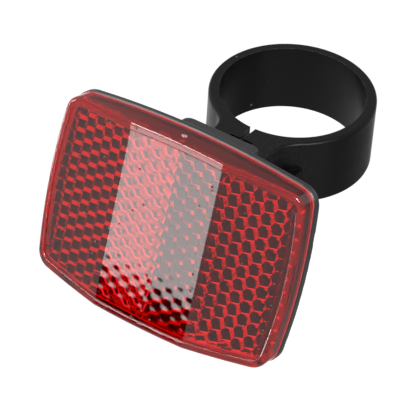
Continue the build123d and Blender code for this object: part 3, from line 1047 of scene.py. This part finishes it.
bead = bmesh.new()
bead.from_mesh(joined)
foot = []
for edge in bead.edges:
    spots = [vert.co - face_middle for vert in edge.verts]
    outward = [
        face for face in edge.link_faces
        if abs(face.normal.dot(face_out)) < bead_upright and face.normal.dot(spots[0]) > 0
    ]
    if outward and max(abs(spot.dot(face_out)) for spot in spots) < foot_level:
        foot.append(edge)
bmesh.ops.delete(bead, geom=[edge for edge in bead.edges if edge not in foot], context="EDGES")
bmesh.ops.delete(bead, geom=bead.faces[:], context="FACES_ONLY")
bmesh.ops.delete(bead, geom=[vert for vert in bead.verts if not vert.link_edges], context="VERTS")
raised = bmesh.ops.extrude_edge_only(bead, edges=bead.edges[:])
bmesh.ops.translate(
    bead, vec=face_out * bead_height,
    verts=[item for item in raised["geom"] if isinstance(item, bmesh.types.BMVert)])
bmesh.ops.scale(
    bead, vec=(bead_stand, bead_stand, bead_stand), verts=bead.verts[:],
    space=Matrix.Translation(-(face_middle + face_out * bead_height / 2)))
bmesh.ops.recalc_face_normals(bead, faces=bead.faces[:])
bmesh.ops.solidify(bead, geom=bead.faces[:], thickness=bead_thickness)
bmesh.ops.recalc_face_normals(bead, faces=bead.faces[:])
print("bead:", len(foot), "edges at its foot,", faulty(bead), "without exactly two faces")
weld_bead = as_object("weld_bead", bead)
# Opaque bright red: partly the acrylic's own red, partly a painted glow for the light piped down the
# wall
bead_red_glow = speckled(
    "bead_red_glow", color=(0.95, 0.12, 0.12), roughness=0.35, scale=1100.0, detail=2.0,
    low=(0.8, 0.06, 0.06), high=(1.0, 0.18, 0.18))
weld_bead.data.materials.append(bead_red_glow)
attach(weld_bead, "reflector")

# %% [markdown]
# ## The gate mark
#
# The photo shows a rough, whitish scar in the middle of the lens's upper wall. It is read here as
# the place where the acrylic flowed into the mould and the sprue was snapped off, and it stands a
# little proud. A flat disc whose points are pushed about by seeded random steps is enough for it.

# %% Gate mark
gate_across = -0.48 * MM
gate_depth = 4.46 * MM
gate_radius = 0.62 * MM
gate_height = 0.12 * MM
gate_rough = 0.07 * MM
gate_sides = 14
gate_inset = 0.35
gate_seed = 7

scar = bmesh.new()
disc_out = bmesh.ops.create_circle(scar, cap_ends=True, segments=gate_sides, radius=gate_radius)
bmesh.ops.translate(scar, vec=(0, 0, -gate_height), verts=disc_out["verts"])
raised = bmesh.ops.extrude_face_region(scar, geom=scar.faces[:])
crown = [item for item in raised["geom"] if isinstance(item, bmesh.types.BMVert)]
bmesh.ops.translate(scar, vec=(0, 0, 2 * gate_height), verts=crown)
lid = [face for face in scar.faces if face.calc_center_median().z > gate_height / 2]
bmesh.ops.inset_region(scar, faces=lid, thickness=gate_radius * gate_inset)
bmesh.ops.triangulate(scar, faces=scar.faces[:])
bmesh.ops.subdivide_edges(scar, edges=scar.edges[:], cuts=1)
steps = random.Random(gate_seed)
for vert in scar.verts:
    if vert.co.z > 0:
        vert.co += Vector([steps.uniform(-gate_rough, gate_rough) for _ in range(3)])
bmesh.ops.recalc_face_normals(scar, faces=scar.faces[:])
gate_at = face_middle + face_up * lens_half_height + face_out * gate_depth
on_wall = Matrix((
    (1, 0, 0, face_middle.x + gate_across),
    (0, -face_out.y, face_up.y, gate_at.y),
    (0, -face_out.z, face_up.z, gate_at.z),
    (0, 0, 0, 1),
))
bmesh.ops.transform(scar, matrix=on_wall, verts=scar.verts[:])
gate_mark = as_object("gate_mark", scar)
frosted, frosted_shader = bare_material("snapped_acrylic", (0.75, 0.42, 0.42), 0.55)
tree = frosted.node_tree
chips = noise(tree, coordinates(tree), 2600.0, detail=3.0)
chip_color = blend_color(
    tree, between(tree, chips, 0.4, 0.6), (0.5, 0.12, 0.13), (0.95, 0.78, 0.77))
tree.links.new(chip_color, frosted_shader.inputs["Base Color"])
bump(tree, frosted_shader, chips, 3e-5)
gate_mark.data.materials.append(frosted)
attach(gate_mark, "reflector")
print("gate mark:", len(gate_mark.data.polygons), "faces")

# %% [markdown]
# ## Painted glints in the side wall
#
# In the photo a row of small bright red triangles runs down the right-hand wall, roughly one beside
# each row of prisms. They are taken here for glints at the ends of the last prisms, seen through the
# wall, and are painted in as small opaque cones of a pale bright red. Each is a cone of three sides
# with its base towards the wall's inner face.

# %% Painted glints
glint_count = 11
glint_first = Vector((28.35, 16.5)) * MM
glint_last = Vector((28.75, -13.1)) * MM
glint_depth = 3.3 * MM
glint_radius = 0.52 * MM
glint_bow = 0.5 * MM
glint_reach = 20 * MM
glint_lay = math.radians(90)
glint_turn = math.radians(30)

glint_cones = bmesh.new()
for k in range(glint_count):
    across_up = glint_first.lerp(glint_last, k / (glint_count - 1))
    inset = glint_bow * (across_up.y / glint_reach) ** 2
    middle = face_middle + face_up * across_up.y + face_out * glint_depth
    middle += Vector((across_up.x - inset, 0, 0))
    cone = bmesh.ops.create_cone(
        glint_cones, cap_ends=True, segments=3, radius1=glint_radius, radius2=0, depth=glint_radius)
    aim = Matrix.Rotation(glint_lay, 4, "Y") @ Matrix.Rotation(glint_turn, 4, "Z")
    bmesh.ops.transform(glint_cones, matrix=Matrix.Translation(middle) @ aim, verts=cone["verts"])
bmesh.ops.recalc_face_normals(glint_cones, faces=glint_cones.faces[:])
wall_glints = as_object("wall_glints", glint_cones)
# Painted glints: opaque cones of a pale bright red stand in for light caught at the ends of the
# prisms
glint_red = speckled(
    "glint_red", color=(0.95, 0.4, 0.36), roughness=0.5, scale=3000.0, detail=2.0,
    low=(0.9, 0.25, 0.22), high=(1.0, 0.6, 0.55))
wall_glints.data.materials.append(glint_red)
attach(wall_glints, "reflector")
print("nicks:", glint_count, "with", len(wall_glints.data.polygons), "faces")
